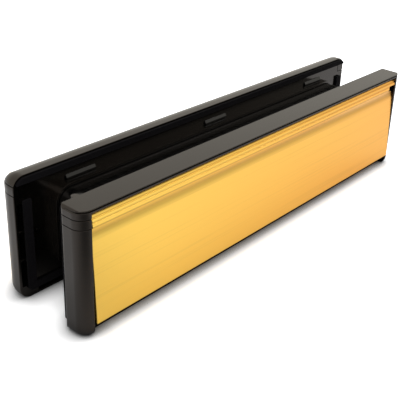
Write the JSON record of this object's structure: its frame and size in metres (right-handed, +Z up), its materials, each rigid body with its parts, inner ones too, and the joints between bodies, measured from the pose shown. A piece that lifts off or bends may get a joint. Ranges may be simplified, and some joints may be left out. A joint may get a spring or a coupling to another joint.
{
  "type": "door letterplate",
  "caption": "Through-door letterplate: two framed sprung flaps joined by a telescopic sleeve that adjusts to the door's thickness.",
  "frame": {"origin": "on the surface it stands on, under the middle of the whole part", "axes": "+X along the length, to the right seen from outdoors; +Y from the outer flap to the inner flap; +Z up"},
  "size_m": [0.305, 0.0692, 0.073],
  "materials": {
    "frame_plastic": "fine spark-eroded black",
    "sleeve_plastic": "smooth black",
    "seal_rubber": "soft black",
    "gasket_foam": "closed-cell foam",
    "gold_anodised": "gold anodised, satin",
    "steel": "drawn, zinc plated",
    "spring_steel": "drawn wire",
    "brass": "turned"
  },
  "bodies": {
    "outer": {"outer_frame": "frame_plastic", "outer_top_rail": "frame_plastic", "outer_hinge_block_left": "frame_plastic", "outer_hinge_block_right": "frame_plastic", "outer_hinge_rod": "steel", "outer_spring_left": "spring_steel", "outer_spring_right": "spring_steel", "outer_sleeve": "sleeve_plastic", "outer_flap_seal": "seal_rubber", "outer_door_gasket": "gasket_foam", "threaded_inserts": "brass"},
    "outer_flap": {"outer_flap": "gold_anodised"},
    "inner": {"inner_frame": "frame_plastic", "inner_top_rail": "frame_plastic", "inner_hinge_block_left": "frame_plastic", "inner_hinge_block_right": "frame_plastic", "inner_hinge_rod": "steel", "inner_spring_left": "spring_steel", "inner_spring_right": "spring_steel", "inner_sleeve": "sleeve_plastic", "inner_flap_seal": "seal_rubber", "inner_door_gasket": "gasket_foam"},
    "inner_flap": {"inner_flap": "gold_anodised"}
  },
  "joints": [
    {"name": "outer_flap_hinge", "type": "hinge", "parent": "outer", "child": "outer_flap", "pos_m": [0, -0.02805, 0.0652], "axis": [-1, 0, 0], "range_deg": [0, 85], "stiffness_Nm_per_rad": 0.05, "springref_deg": -34.38, "deforming": ["outer_spring_left", "outer_spring_right"]},
    {"name": "sleeve_telescope", "type": "slide", "parent": "outer", "child": "inner", "axis": [0, 1, 0], "range_m": [0, 0.028]},
    {"name": "inner_flap_hinge", "type": "hinge", "parent": "inner", "child": "inner_flap", "pos_m": [0, 0.02805, 0.0652], "axis": [1, 0, 0], "range_deg": [0, 85], "stiffness_Nm_per_rad": 0.05, "springref_deg": -34.38, "deforming": ["inner_spring_left", "inner_spring_right"]}
  ]
}
